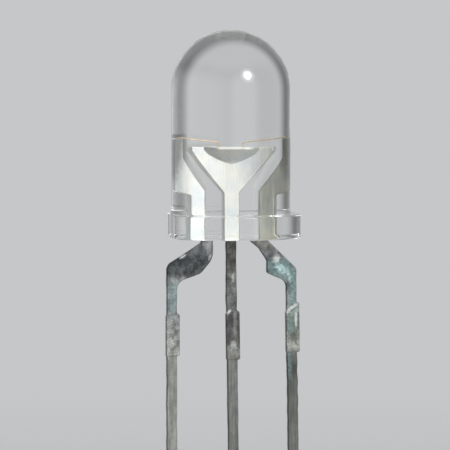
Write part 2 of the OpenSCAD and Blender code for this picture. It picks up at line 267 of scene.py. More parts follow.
# A colour multiplied by a value.
def scaled(tree, colour, factor):
    return node(tree, "VectorMath", {0: colour, "Scale": factor}, operation="SCALE").outputs[0]


# A colour ramp through stops of place and colour, in rising order.
def ramp(tree, value, stops):
    made = node(tree, "ValToRGB", {"Fac": value})
    elements = made.color_ramp.elements
    elements[0].position, elements[1].position = stops[0][0], stops[-1][0]
    elements[0].color, elements[1].color = (*stops[0][1], 1), (*stops[-1][1], 1)
    for place, colour in stops[1:-1]:
        elements.new(place).color = (*colour, 1)
    return made.outputs["Color"]


# The normal of a surface that a pattern raises by up to depth millimetres.
def bump(tree, pattern, depth):
    return node(tree, "Bump", {"Height": pattern, "Distance": depth * mm}).outputs[0]


# The shader that the surface shows.
def output(tree, surface):
    node(tree, "OutputMaterial", {"Surface": surface})


# Finishes, with painted light and shade on the leads

resinLook = {
    "tint": (0.985, 0.992, 0.988, 1), "ior": 1.53, "roughness": 0.0, "waveScale": 0.8, "waveDepth": 0.006,
    "lampTint": (0.95, 0.96, 0.955, 1), "innerMirrors": 2.5,
}


# Cast epoxy: clear, with the faint waves of a cast face. Lamps pass straight in to what it holds, and
# light that has been mirrored inside more than innerMirrors times passes straight out.
def makeResin():
    material, tree = newMaterial("clearResin")
    waves = noise(tree, coordinates(tree), resinLook["waveScale"], 1)
    glass = node(tree, "BsdfPrincipled", {
        "Base Color": resinLook["tint"],
        "Transmission Weight": 1.0,
        "IOR": resinLook["ior"],
        "Roughness": resinLook["roughness"],
        "Normal": bump(tree, waves, resinLook["waveDepth"]),
    })
    clear = node(tree, "BsdfTransparent", {"Color": resinLook["lampTint"]})
    rays = node(tree, "LightPath").outputs
    trapped = sums(tree, "GREATER_THAN", rays["Glossy Depth"], resinLook["innerMirrors"])
    straight = sums(tree, "MAXIMUM", rays["Is Shadow Ray"], trapped)
    output(tree, node(tree, "MixShader", {0: straight, 1: glass.outputs[0], 2: clear.outputs[0]}).outputs[0])
    return material


# The leads' common look. Heights are from the underside of the flange, and each pair of dark and pale
# is what the pattern multiplies the tone by.
leadLook = {
    "resinFace": -0.05, "faceBlur": 0.04, "deepest": -10.0, "plainDepth": -5.0, "plainBlur": 0.3,
    "level": 0.87, "metalness": 0.9, "reliefDepth": 0.012,
    "blotchScale": 3.4, "mottleDark": 0.62, "mottlePale": 1.5,
    "grainScale": 13, "grainDark": 0.72, "grainPale": 1.35,
    "lineScale": 17, "lineStretch": 0.04, "lineDark": 0.8, "linePale": 1.2, "plainness": 0.75,
    "breakupScale": 6, "crustScale": 9,
    "brushScale": 22, "brushStretch": 0.06, "cloudScale": 1.3, "cloudShare": 0.6,
    "cool": (0.88, 0.92, 0.94), "cream": (1.07, 1.05, 0.99),
    "silverRoughness": (0.46, 0.56), "tinRoughness": (0.42, 0.6),
}
patina = ((0.7, 0.88, 0.87), (0.3, 0.47, 0.48))
verdigris = ((0.3, 0.42, 0.41), (0.1, 0.17, 0.18))
# Rubbed: bare tin worn bright, and also painted highlights, as glints on edges and bright lines on the stubs.
rubbedAndGlint = ((0.85, 0.86, 0.84), (0.6, 0.6, 0.58))
# Grey tin: dull tin, and also a painted glint and a bright streak on the left crank.
greyTinAndGlint = ((0.5, 0.5, 0.48), (0.3, 0.3, 0.29))

# What is each lead's own. The plate is its silver inside the resin, painted lightest on the left lead
# and darkest on the right as lit and shaded copies of one silver, and one area of it painted darker, as
# shade. Tones are the tin's heights and colours, from low to high. Patches lie on the tin, with their pale
# and deep colours and the metal they take away; some of them paint highlights. An area or patch starts
# with its middle's x and z, half width, half height, turn in degrees, strength, and how ragged its edge is.
commonFinishAndPaintedLight = {
    "plateLitAndShaded": (0.89, 0.89, 0.87), "paintedShade": None,
    "tones": [
        (-9.5, (0.24, 0.24, 0.225)), (-5.4, (0.24, 0.24, 0.225)), (-4.7, (0.24, 0.24, 0.225)),
        (-4.1, (0.14, 0.14, 0.135)), (-3.2, (0.14, 0.14, 0.135)), (-2.4, (0.17, 0.175, 0.17)),
        (-1.3, (0.2, 0.195, 0.18)), (-1.0, (0.105, 0.1, 0.088)), (-0.2, (0.12, 0.115, 0.105)),
    ],
    "patches": [
        (0.07, -1.7, 0.06, 0.22, 0, 0.5, 2.4, rubbedAndGlint, 0.0),
        # Painted highlight: a bright line along the stub's sloping upper edge.
        (-0.11, -3.13, 0.13, 0.06, 45, 0.9, 0.5, rubbedAndGlint, 0.0),
        (0.16, -3.6, 0.08, 0.6, 0, 0.4, 1.8, greyTinAndGlint, 0.0),
        (0.1, -4.5, 0.16, 0.18, 0, 0.45, 1.8, rubbedAndGlint, 0.0),
    ],
}
leftFinishAndPaintedLight = {
    # Plate painted lightest of the three, as lit silver; the area of painted shade darkens the outer wing.
    "plateLitAndShaded": (0.93, 0.94, 0.94), "paintedShade": (-2.2, 3.5, 0.66, 1.7, -16, 0.5, 0.6),
    "tones": [
        (-9.5, (0.36, 0.36, 0.33)), (-5.2, (0.36, 0.36, 0.33)), (-4.6, (0.38, 0.38, 0.36)),
        (-3.4, (0.3, 0.31, 0.3)), (-2.2, (0.44, 0.46, 0.45)), (-1.8, (0.3, 0.31, 0.3)),
        (-1.5, (0.11, 0.118, 0.118)), (-0.9, (0.085, 0.093, 0.098)), (-0.1, (0.25, 0.26, 0.27)),
    ],
    "patches": [
        (-2.45, -2.5, 0.3, 0.75, 0, 0.55, 1.4, verdigris, 0.2),
        # Painted glint on the crank's upper edge.
        (-2.05, -0.79, 0.17, 0.05, 33, 0.9, 0.8, rubbedAndGlint, 0.0),
        # Painted glint on the crank's inner edge, and a painted bright streak beside it by the resin.
        (-0.9, -0.82, 0.06, 0.15, -20, 0.8, 1.4, greyTinAndGlint, 0.0),
        (-0.95, -0.38, 0.11, 0.34, -8, 0.7, 1.8, greyTinAndGlint, 0.0),
    ],
}
rightFinishAndPaintedLight = {
    # Plate painted darkest, as shaded silver; the area of painted shade darkens the outer wing.
    "plateLitAndShaded": (0.62, 0.62, 0.57), "paintedShade": (2.1, 3.4, 0.7, 1.5, 14, 0.48, 0.6),
    "tones": [
        (-9.5, (0.23, 0.23, 0.21)), (-6.5, (0.17, 0.17, 0.158)), (-5.4, (0.1, 0.11, 0.1)),
        (-5.0, (0.2, 0.21, 0.2)), (-4.6, (0.36, 0.36, 0.33)), (-3.7, (0.2, 0.23, 0.2)),
        (-2.8, (0.24, 0.28, 0.27)), (-1.2, (0.15, 0.18, 0.18)), (-0.7, (0.2, 0.2, 0.205)),
        (-0.1, (0.23, 0.23, 0.205)),
    ],
    "patches": [
        (2.1, -1.3, 0.62, 0.42, -20, 0.8, 1.2, verdigris, 0.5),
        (2.13, -1.32, 0.33, 0.19, -35, 1.0, 1.8, patina, 0.7),
        (2.5, -1.68, 0.13, 0.24, 0, 0.62, 2.2, patina, 0.6),
        (2.62, -2.0, 0.13, 0.9, 0, 0.8, 1.4, verdigris, 0.5),
        (1.88, -0.92, 0.2, 0.12, 50, 0.7, 2.6, rubbedAndGlint, 0.0),
        # Painted highlights: bright lines and a dot along the stub's sloping edge and side.
        (2.56, -2.95, 0.36, 0.06, 35, 1.0, 0.3, rubbedAndGlint, 0.0),
        (2.37, -3.12, 0.08, 0.07, 0, 0.9, 0.5, rubbedAndGlint, 0.0),
        (2.73, -3.45, 0.06, 0.36, 0, 0.75, 1.2, rubbedAndGlint, 0.0),
        (2.53, -3.7, 0.12, 0.35, 0, 0.7, 1.2, verdigris, 0.3),
        (2.46, -5.4, 0.1, 0.7, 0, 0.5, 1.2, verdigris, 0.3),
    ],
}


# A soft-edged oval round x, z, turned about Y. Its strength fades between 0.5 and 1.3 half sizes from
# the middle, a distance that the noise is added to.
def patchMask(tree, place, breakup, x, z, halfWidth, halfHeight, turn, strength, ragged):
    near = node(tree, "Mapping", {
        "Vector": place,
        "Location": (x, 0, z),
        "Rotation": (0, math.radians(-turn), 0),
        "Scale": (halfWidth, 1 / mm, halfHeight),
    }, vector_type="TEXTURE").outputs[0]
    away = node(tree, "VectorMath", {0: near}, operation="LENGTH").outputs["Value"]
    shift = times(tree, sums(tree, "SUBTRACT", breakup, 0.5), ragged)
    return times(tree, smooth(tree, sums(tree, "ADD", away, shift), 1.3, 0.5), strength)


# The tin's tone for its height, times its mottling and speckling. Below plainDepth these grow faint and
# fine lines along the lead are multiplied in.
def tinColour(tree, height, tones, blotches, grains):
    look, depth = leadLook, leadLook["deepest"]
    along = node(tree, "MapRange", {"Value": height, "From Min": depth, "From Max": 0.0}).outputs[0]
    stops = [(1 - z / depth, tuple(look["level"] * c for c in colour)) for z, colour in tones]
    mottle = spread(tree, blotches, look["mottleDark"], look["mottlePale"])
    mottle = times(tree, mottle, spread(tree, grains, look["grainDark"], look["grainPale"]))
    lines = noise(tree, coordinates(tree, (1, 1, look["lineStretch"])), look["lineScale"], 3, 0.6)
    drawn = spread(tree, lines, look["lineDark"], look["linePale"])
    drawn = times(tree, blended(tree, look["plainness"], mottle, 1.0), drawn)
    low, high = look["plainDepth"] - look["plainBlur"], look["plainDepth"] + look["plainBlur"]
    factor = blended(tree, smooth(tree, height, high, low), mottle, drawn)
    return scaled(tree, ramp(tree, along, stops), factor)


# The plate's cool and cream tints, mixed by brush lines along the lead and soft clouds, and darker by
# the strength of the area of painted shade on the outer wing, which mirrors dim surroundings.
def silverColour(tree, place, brushed, breakup, plateLitAndShaded, paintedShade):
    clouds = noise(tree, place, leadLook["cloudScale"], 3)
    share = leadLook["cloudShare"]
    shade = sums(tree, "ADD", times(tree, clouds, share), times(tree, brushed, 1 - share))
    cool, cream = [tuple(p * t for p, t in zip(plateLitAndShaded, leadLook[tint])) for tint in ("cool", "cream")]
    silver = ramp(tree, shade, [(0.4, cool), (0.6, cream)])
    if paintedShade is None:
        return silver
    # Painted shade: the plate is darkened over the wing area.
    return scaled(tree, silver, sums(tree, "SUBTRACT", 1.0, patchMask(tree, place, breakup, *paintedShade)))


# Lead metal: satin silver plate inside the resin, painted darker in places as shade, and dull worn tin with
# patches outside it, some of them painted glints.
def makeLeadMetal(name, finishAndPaintedLight):
    look = leadLook
    material, tree = newMaterial(name)
    place = coordinates(tree)
    height = node(tree, "SeparateXYZ", {0: place}).outputs[2]
    face, blur = look["resinFace"], look["faceBlur"]
    outside = smooth(tree, height, face + blur, face - blur)
    blotches = noise(tree, coordinates(tree, (1, 1, 0.8)), look["blotchScale"], 4, 0.6)
    grains = noise(tree, place, look["grainScale"], 3, 0.7)
    breakup = noise(tree, place, look["breakupScale"], 4, 0.65)
    crust = noise(tree, place, look["crustScale"], 3, 0.7)
    brushed = noise(tree, coordinates(tree, (1, 1, look["brushStretch"])), look["brushScale"], 2)
    silver = silverColour(tree, place, brushed, breakup, finishAndPaintedLight["plateLitAndShaded"], finishAndPaintedLight["paintedShade"])
    tin = tinColour(tree, height, finishAndPaintedLight["tones"], blotches, grains)
    metalness = look["metalness"]
    # Patches of patina, rubbed tin and painted glints, each mixed over the tin.
    for *area, (pale, deep), metalLoss in finishAndPaintedLight["patches"]:
        mask = patchMask(tree, place, breakup, *area)
        tin = mixed(tree, mask, tin, ramp(tree, crust, [(0.36, deep), (0.62, pale)]))
        metalness = sums(tree, "SUBTRACT", metalness, times(tree, mask, metalLoss))
    silverRough = spread(tree, brushed, *look["silverRoughness"], reach=0.2)
    tinRough = spread(tree, grains, *look["tinRoughness"], reach=0.2)
    tinRelief = sums(tree, "ADD", blotches, times(tree, grains, 0.5))
    relief = blended(tree, outside, times(tree, brushed, 0.3), tinRelief)
    metal = node(tree, "BsdfPrincipled", {
        "Base Color": mixed(tree, outside, silver, tin),
        "Metallic": blended(tree, outside, 1.0, metalness),
        "Roughness": blended(tree, outside, silverRough, tinRough),
        "Normal": bump(tree, relief, look["reliefDepth"]),
    })
    output(tree, metal.outputs[0])
    return material


# A plain metal or chip surface: noise between a dark and a pale colour, roughness and relief with it.
def makeSpeckled(name, look):
    material, tree = newMaterial(name)
    specks = noise(tree, coordinates(tree), look["scale"], 4)
    surface = node(tree, "BsdfPrincipled", {
        "Base Color": ramp(tree, specks, [(0.35, look["dark"]), (0.65, look["pale"])]),
        "Metallic": look["metallic"],
        "Roughness": spread(tree, specks, look["roughness"], look["roughness"] + 0.12, reach=0.2),
        "Normal": bump(tree, specks, look["relief"]),
    })
    output(tree, surface.outputs[0])
    return material


goldLook = {
    "dark": (0.93, 0.62, 0.36), "pale": (1.0, 0.8, 0.54), "metallic": 1.0, "roughness": 0.24,
    "scale": 30, "relief": 0.001,
}
glueLook = {
    "dark": (0.42, 0.41, 0.39), "pale": (0.74, 0.73, 0.7), "metallic": 0.8, "roughness": 0.5,
    "scale": 40, "relief": 0.006,
}
amberLook = {
    "dark": (0.3, 0.17, 0.08), "pale": (0.5, 0.3, 0.13), "metallic": 0.15, "roughness": 0.3,
    "scale": 24, "relief": 0.001,
}
greenLook = {
    "dark": (0.3, 0.3, 0.1), "pale": (0.5, 0.48, 0.2), "metallic": 0.1, "roughness": 0.3,
    "scale": 24, "relief": 0.001,
}
resin = makeResin()
commonMetal = makeLeadMetal("middleLeadMetal", commonFinishAndPaintedLight)
leftMetal = makeLeadMetal("leftLeadMetal", leftFinishAndPaintedLight)
rightMetal = makeLeadMetal("rightLeadMetal", rightFinishAndPaintedLight)
goldMetal = makeSpeckled("wireGold", goldLook)
glueSilver = makeSpeckled("silverGlue", glueLook)
amberChip = makeSpeckled("amberDie", amberLook)
greenChip = makeSpeckled("greenDie", greenLook)
print("finishes ready")


# Lens body

# Sizes in millimetres, here and in the other pieces, and counts of rows and columns in the mesh.
lensSize = {
    "barrelRadius": 2.5, "height": 8.7, "flangeRadius": 2.93, "flangeHeight": 1.0,
    "flatDistance": 2.52, "edgeRadius": 0.08, "rootRadius": 0.08,
    "dishRadius": 2.22, "dishDepth": 0.09, "creepDepth": 0.12, "creepReach": 0.07,
    "columns": 320, "domeRows": 75, "barrelRows": 12, "edgeRows": 10, "rimRows": 4, "dishRows": 110,
    "poleAngle": 1.2, "dishMiddle": 0.004,
}


# The resin's skin: a section of arcs and straights turned round Z. The flange's radius shrinks to the
# flat's distance over the cosine of the angle, and its two roundings shrink where it stands out little.
# The underside is hollow by the square of the radius, and the resin climbs down each lead, dying away
# outwards by an exponential of the distance.
def lensSkin(size, leadBases):
    corner = math.acos(-size["flatDistance"] / size["flangeRadius"])
    angle = np.linspace(-math.pi, math.pi, size["columns"], endpoint=False)
    angle = np.unique(np.concatenate([angle, [corner, -corner]]))
    towards = np.maximum(-np.cos(angle), 1e-6)
    flangeR = np.minimum(size["flangeRadius"], size["flatDistance"] / towards)
    ledge = flangeR - size["barrelRadius"]
    edge = np.minimum(size["edgeRadius"], 0.5 * ledge)
    root = np.minimum(size["rootRadius"], 0.5 * ledge)
    barrelR, top = size["barrelRadius"], size["flangeHeight"]
    domeZ = size["height"] - barrelR
    quarter = np.linspace(0, math.pi / 2, size["edgeRows"])[:, None]
    dome = np.radians(np.linspace(size["poleAngle"], 90, size["domeRows"]))[:, None]
    barrelZ = np.linspace(domeZ - 0.05, top + 0.3, size["barrelRows"])[:, None]
    rimZ = np.linspace(top - 0.2, 0.2, size["rimRows"])[:, None]
    every = np.ones_like(angle)
    parts = [
        (barrelR * np.sin(dome) * every, (domeZ + barrelR * np.cos(dome)) * every),
        (barrelR * np.ones_like(barrelZ) * every, barrelZ * every),
        (barrelR + root * (1 - np.cos(quarter)), top + root * (1 - np.sin(quarter))),
        (flangeR - edge + edge * np.sin(quarter), top - edge * (1 - np.cos(quarter))),
        (flangeR * np.ones_like(rimZ), rimZ * every),
        (flangeR - edge * (1 - np.cos(quarter)), edge * (1 - np.sin(quarter))),
    ]
    dishR = np.linspace(1, size["dishMiddle"], size["dishRows"])[:, None] * size["dishRadius"] * every
    radius = np.vstack([p[0] for p in parts] + [dishR])
    x, y = radius * np.cos(angle), radius * np.sin(angle)
    under = len(radius) - len(dishR)
    hollow = size["dishDepth"] * (1 - (dishR / size["dishRadius"]) ** 2)
    for middle, halfWidth, halfDepth in leadBases:
        awayX = np.maximum(np.abs(x[under:] - middle) - halfWidth, 0)
        awayY = np.maximum(np.abs(y[under:]) - halfDepth, 0)
        climb = np.exp(-np.hypot(awayX, awayY) / size["creepReach"])
        hollow = hollow - (size["creepDepth"] + hollow) * climb
    z = np.vstack([p[1] for p in parts] + [hollow])
    return ringSkin(np.stack([x, y, z], axis=-1), "fan", "fan")


leadSize = {
    "thickness": 0.4, "width": 0.43, "pitch": 2.54, "leftInset": 0.045,
    "commonLength": 27.5, "outerLength": 26.5, "stampRadius": 0.08, "edgeRadius": 0.035,
    "stemWidth": 0.45, "shoulderZ": 1.9, "headZ": 3.83, "headWidth": 2.47, "headSide": 0.17,
    "postGap": 0.545, "postWidth": 0.485, "flankGap": 0.43, "tipGap": 0.322,
    "wingWidth": 0.52, "wingZ": 4.18, "footZ": 1.8, "footRise": 0.2,
    "commonLeanZ": 1.1, "commonLean": 0.75, "rightLeanZ": 2.65, "rightLean": 0.85,
    "stubOut": 0.11, "stubIn": 0.025, "stubProud": 0.02, "stubCornerRadius": 0.1,
    "unevenness": 0.008, "unevenFrom": 0.2, "unevenFade": 0.3, "spacing": 0.06,
}
# The two cranks: slopes in degrees below level, and depths below the flange, but for the right elbow,
# which is that far above its underside. Each X is measured outwards from the upright's inner edge.
crank = {
    "leftElbow": 0.22, "leftSlope": 33.2, "leftHeel": 0.86, "leftKneeX": 0.485, "leftKnee": 1.498,
    "leftCrotch": 1.86, "leftBend": 0.42, "leftHeelBend": 0.7,
    "rightElbow": 0.155, "rightSlope": 44.3, "rightHeel": 0.14, "rightBendX": 0.42, "rightBendZ": 0.475,
    "rightKneeX": 0.735, "rightKneeTop": 1.0, "rightKnee": 1.5, "rightCrotch": 1.84, "rightBend": 0.4,
}
postIn = leadSize["stemWidth"] / 2 + leadSize["postGap"]
postOut = postIn + leadSize["postWidth"]
wingIn = leadSize["headWidth"] / 2 + leadSize["tipGap"]
wingOut = wingIn + leadSize["wingWidth"]
legIn = leadSize["pitch"] - leadSize["width"] / 2
legOut = leadSize["pitch"] + leadSize["width"] / 2
leftLegIn, leftLegOut = legIn - leadSize["leftInset"], legOut - leadSize["leftInset"]
exitOut = postOut + crank["rightElbow"] / math.tan(math.radians(crank["rightSlope"]))
halfSheet = leadSize["thickness"] / 2
makePiece("lensBody", [lensSkin(lensSize, [
    (-(postIn + postOut) / 2, leadSize["postWidth"] / 2, halfSheet),
    (0, leadSize["width"] / 2, halfSheet),
    ((postIn + exitOut) / 2, (exitOut - postIn) / 2, halfSheet),
])], resin, ["lens_body"], sharpDegrees=22)
print("lens body made")


# Leads

# Points deeper than fromZ move sideways by the tangent of the lean.
def leant(outline, fromZ, degrees):
    below = np.maximum(0, -fromZ - outline[:, 1])
    return outline + np.stack([below * math.tan(math.radians(degrees)), np.zeros(len(outline))], axis=1)


# Below the resin the edge wanders in and out by a sum of sines along the outline, as dipped tin does.
# The wander fades in below unevenFrom and out again at the tip.
def uneven(outline, seed):
    rng = np.random.default_rng(seed)
    way = np.concatenate([[0], np.cumsum(np.linalg.norm(np.diff(outline, axis=0), axis=1))])
    waves = rng.uniform(1.5, 9, 9)
    phases = rng.uniform(0, 2 * math.pi, 9)
    wander = np.sin(way[:, None] * waves + phases).sum(axis=1) / 3
    z, reach = outline[:, 1], leadSize["unevenFade"]
    fade = np.clip((-leadSize["unevenFrom"] - z) / reach, 0, 1) * np.clip((z - z.min()) / reach, 0, 1)
    return outline + outlineNormals(outline) * (wander * fade * leadSize["unevenness"])[:, None]


# The sloping edge's height at x: the head's own side, moved out square by flankGap.
def flankZ(x):
    run = (leadSize["headWidth"] - leadSize["stemWidth"]) / 2
    rise = leadSize["headZ"] - leadSize["headSide"] - leadSize["shoulderZ"]
    away = leadSize["flankGap"] * math.hypot(run, rise)
    return leadSize["shoulderZ"] + ((x - leadSize["stemWidth"] / 2) * rise - away) / run


# An outer lead's corners inside the resin, from the upright's inner edge over the wide upper end.
def wingCorners():
    r = leadSize["stampRadius"]
    return [
        (postIn, flankZ(postIn), r), (wingIn, flankZ(wingIn), r), (wingIn, leadSize["wingZ"], r / 2),
        (wingOut, leadSize["wingZ"], r), (wingOut, leadSize["footZ"] + leadSize["footRise"], r),
        (postOut, leadSize["footZ"], r),
    ]


# An outer lead's straight leg, with a point on each side where the right one starts to lean.
def legCorners(inside, outside):
    r = leadSize["stampRadius"] / 2
    return [
        (outside, -leadSize["rightLeanZ"], 0), (outside, -leadSize["outerLength"], r),
        (inside, -leadSize["outerLength"], r), (inside, -leadSize["rightLeanZ"], 0),
    ]


# How far a crank's outer edge drops on its way from the upright to the leg: run times tangent.
def elbowDrop(outside, slope):
    return (outside - postOut) * math.tan(math.radians(slope))


# The left lead, drawn on +X like the right one and mirrored.
def leftCorners():
    r, wide = leadSize["stampRadius"], crank["leftBend"]
    return [(-x, z, radius) for x, z, radius in [
        *wingCorners(),
        (postOut, -crank["leftElbow"], 2 * r),
        (leftLegOut, -crank["leftElbow"] - elbowDrop(leftLegOut, crank["leftSlope"]), wide),
        *legCorners(leftLegIn, leftLegOut),
        (leftLegIn, -crank["leftCrotch"], wide),
        (postIn + crank["leftKneeX"], -crank["leftKnee"], wide),
        (postIn, -crank["leftHeel"], crank["leftHeelBend"]),
    ]]


# The right lead, whose crank has a flat knee.
def rightCorners():
    r = leadSize["stampRadius"]
    return [
        *wingCorners(),
        (postOut, crank["rightElbow"], 2 * r),
        (legOut, crank["rightElbow"] - elbowDrop(legOut, crank["rightSlope"]), 3 * r),
        *legCorners(legIn, legOut),
        (legIn, -crank["rightCrotch"], crank["rightBend"]),
        (postIn + crank["rightKneeX"], -crank["rightKnee"], 1.5 * r),
        (postIn + crank["rightKneeX"], -crank["rightKneeTop"], 2 * r),
        (postIn + crank["rightBendX"], -crank["rightBendZ"], 2 * r),
        (postIn, -crank["rightHeel"], 2 * r),
    ]


cup = {
    "radius": 0.5, "span": 0.68, "rimHeight": 0.1, "height": 0.7, "footRadius": 0.15,
    "wall": 0.07, "bowlDepth": 0.3, "bowlSlope": 0.16, "lip": 0.025, "bellyBend": 0.12,
    "floorBevel": 0.02, "coneShare": 0.85, "endCurve": 2.3,
    "easeDepth": 0.09, "easeShell": 0.03, "easeHalfWidth": 0.98, "easeInset": 0.06,
    "easeProud": 0.003, "easeSunk": 0.002, "easeRows": 70, "easeColumns": 120,
}


# The middle lead, with a notch in its head whose sides run inside the cup's wall.
def commonCorners():
    r = leadSize["stampRadius"]
    half, stem = leadSize["width"] / 2, leadSize["stemWidth"] / 2
    head, headHalf = leadSize["headZ"], leadSize["headWidth"] / 2
    notchTop = cup["span"] / 2 + cup["radius"] - cup["wall"] / 2
    notchFoot = notchTop - cup["bowlSlope"] + 0.02
    notchZ = head - cup["bowlDepth"] - 0.04
    right = [
        (notchTop, head, 0), (headHalf, head, r / 2), (headHalf, head - leadSize["headSide"], r / 2),
        (stem, leadSize["shoulderZ"], 2 * r), (stem, 0, 0),
        (half, -0.05, 0), (half, -leadSize["commonLeanZ"], 0), (half, -leadSize["commonLength"], r / 2),
    ]
    left = [(-x, z, radius) for x, z, radius in right[::-1]]
    return right + left + [(-notchFoot, notchZ, 0), (notchFoot, notchZ, 0)]


# The cup's section [radius, z, half span], outside and inside: a cone that bends into an upright rim,
# then a rounded lip, a sloping bowl and a flat floor. The cone's two ends draw together towards its foot
# by a power of the depth, so that the belly is a bowl seen from the front.
def cupSections():
    head, radius, lip, bend = leadSize["headZ"], cup["radius"], cup["lip"], cup["bellyBend"]
    foot, footZ, rimZ = cup["footRadius"], head - cup["height"], head - cup["rimHeight"]
    mouth, bevel = radius - cup["wall"], cup["floorBevel"]
    floorR, floorZ = mouth - cup["bowlSlope"], head - cup["bowlDepth"]
    slope = math.atan2(radius - foot, rimZ - footZ)
    tangent = bend * math.tan(slope / 2)
    share = np.linspace(0, cup["coneShare"], 10)[:, None]
    outside = np.vstack([
        np.array([foot, footZ]) + share * np.array([radius - foot, rimZ - footZ]),
        arc((radius - bend, rimZ + tangent), bend, -math.degrees(slope), 0, 8),
    ])
    inside = np.vstack([
        arc((radius - lip, head - lip), lip, 0, 90, 6),
        arc((mouth + lip, head - lip), lip, 90, 170, 6),
        [[floorR + bevel, floorZ + bevel], [floorR, floorZ]],
    ])
    depth = np.clip((rimZ - outside[:, 1]) / (rimZ - footZ), 0, 1)
    drawnIn = cup["span"] / 2 * (1 - depth ** cup["endCurve"])
    full = np.full(len(inside), cup["span"] / 2)
    return np.column_stack([outside, drawnIn]), np.column_stack([inside, full])


# A thin shell that eases the cup's belly into the face of the sheet: its depth at x, z is the larger of
# the sheet's and the cup's, with the step between the two rounded off by a parabola. Rings are level, and
# the cone runs on below its foot to a point inside the sheet.
def easeSkin(side):
    section = cupSections()[0]
    run = section[1] - section[0]
    section = np.vstack([section[0] - run * section[0, 0] / run[0], section])
    z = np.linspace(section[0, 1], leadSize["headZ"] - cup["lip"], cup["easeRows"])[:, None]
    radius = np.interp(z, section[:, 1], section[:, 0] + cup["easeProud"])
    halfSpan = np.interp(z, section[:, 1], np.maximum(section[:, 2], 0))
    flare = (leadSize["headWidth"] - leadSize["stemWidth"]) / 2
    flare = flare / (leadSize["headZ"] - leadSize["headSide"] - leadSize["shoulderZ"])
    flank = leadSize["stemWidth"] / 2 + (z - leadSize["shoulderZ"]) * flare
    x = np.minimum(cup["easeHalfWidth"], flank - cup["easeInset"]) * np.linspace(-1, 1, cup["easeColumns"])
    beyond = np.maximum(np.abs(x) - halfSpan, 0)
    belly = np.sqrt(np.maximum(radius ** 2 - beyond ** 2, 0))
    sheet = halfSheet - cup["easeSunk"]
    blend = np.maximum(cup["easeDepth"] - np.abs(belly - sheet), 0)
    depth = np.maximum(belly, sheet) + blend ** 2 / (4 * cup["easeDepth"])
    outer = np.stack([x, side * depth, np.broadcast_to(z, x.shape)], axis=-1)
    inner = outer - [0, side * cup["easeShell"], 0]
    return ringSkin(np.concatenate([outer, inner[:, ::-1]], axis=1))


# What is left of the bar that tied the leads together: a stretch a little wider and thicker than the
# lead round x, whose upper edge slopes by drop.
def stubSkin(x, top, height, drop, tipRadius, fromZ, degrees):
    half = leadSize["width"] / 2
    left, right = x - half - leadSize["stubIn"], x + half + leadSize["stubOut"]
    low, r = -top - height, leadSize["stubCornerRadius"]
    corners = [(left, -top - drop, 0.01), (right, -top, tipRadius), (right, low, r), (left, low, 0.01)]
    outline = leant(refined(roundedOutline(corners), leadSize["spacing"]), fromZ, degrees)
    return stampedSkin(outline, leadSize["thickness"] + 2 * leadSize["stubProud"], leadSize["stubProud"])


# A lead's stamped strip with its uneven edge, and its stub, both leaning alike.
def leadSkins(corners, stub, fromZ, degrees, seed):
    outline = leant(refined(roundedOutline(corners), leadSize["spacing"]), fromZ, degrees)
    return [
        stampedSkin(uneven(outline, seed), leadSize["thickness"], leadSize["edgeRadius"]),
        stubSkin(*stub, fromZ, degrees),
    ]


# Each lead's stub: its lead's middle, the depth of its upper edge, its height, how far that edge drops
# across the lead, and the radius of its upper corner.
stubs = {
    "left": ((leftLegIn + leftLegOut) / -2, 3.16, 1.81, 0.12, 0.1),
    "common": (0, 3.04, 2.1, 0.17, 0.1),
    "right": (leadSize["pitch"], 2.72, 2.11, 0.4, 0.035),
}
commonSkins = leadSkins(commonCorners(), stubs["common"], leadSize["commonLeanZ"], leadSize["commonLean"], 11)
commonSkins += [stadiumSkin(np.vstack(cupSections())), easeSkin(-1), easeSkin(1)]
makePiece("commonLead", commonSkins, commonMetal, ["common_lead"])
leftSkins = leadSkins(leftCorners(), stubs["left"], leadSize["rightLeanZ"], 0, 12)
makePiece("leftLead", leftSkins, leftMetal, ["left_lead"])
rightSkins = leadSkins(rightCorners(), stubs["right"], leadSize["rightLeanZ"], leadSize["rightLean"], 13)
makePiece("rightLead", rightSkins, rightMetal, ["right_lead"])
print("leads made")


# Dies, glue and bond wires

chip = {
    "side": 0.25, "height": 0.21, "span": 0.68, "cornerPower": 8, "columns": 64,
    "glueThickness": 0.015, "glueClimb": 0.05, "glueFoot": 0.2, "glueCurve": 2.2, "glueRows": 10,
    "padRadius": 0.06, "padThickness": 0.008, "padColumns": 32, "mesa": 0.016, "sawStep": 0.004,
}
bowlFloor = leadSize["headZ"] - cup["bowlDepth"]
dieFoot = bowlFloor + chip["glueThickness"]
dieTop = dieFoot + chip["height"]


# A rounded square of half side h: the curve on which the two coordinates' powers sum to that of h.
def squareRing(h):
    angle = (np.arange(chip["columns"]) + 0.5) * 2 * math.pi / chip["columns"]
    power = chip["cornerPower"]
    reach = h / (np.abs(np.cos(angle)) ** power + np.abs(np.sin(angle)) ** power) ** (1 / power)
    return np.stack([reach * np.cos(angle), reach * np.sin(angle)], axis=1)


# A die: square rings [half side, height], with a saw step at a third and a sloped mesa on top.
def dieSkin(x):
    half, height, step = chip["side"] / 2, chip["height"], chip["sawStep"]
    mesaHalf = half - chip["mesa"]
    levels = [
        (half, dieFoot), (half, dieFoot + 0.3 * height), (half - step, dieFoot + 0.34 * height),
        (half - step, dieTop - 0.03), (half - 2 * step, dieTop - 0.026),
        (mesaHalf, dieTop - 0.004), (mesaHalf - step, dieTop),
    ]
    rings = [np.column_stack([squareRing(h) + [x, 0], np.full(chip["columns"], z)]) for h, z in levels]
    return ringSkin(np.array(rings))


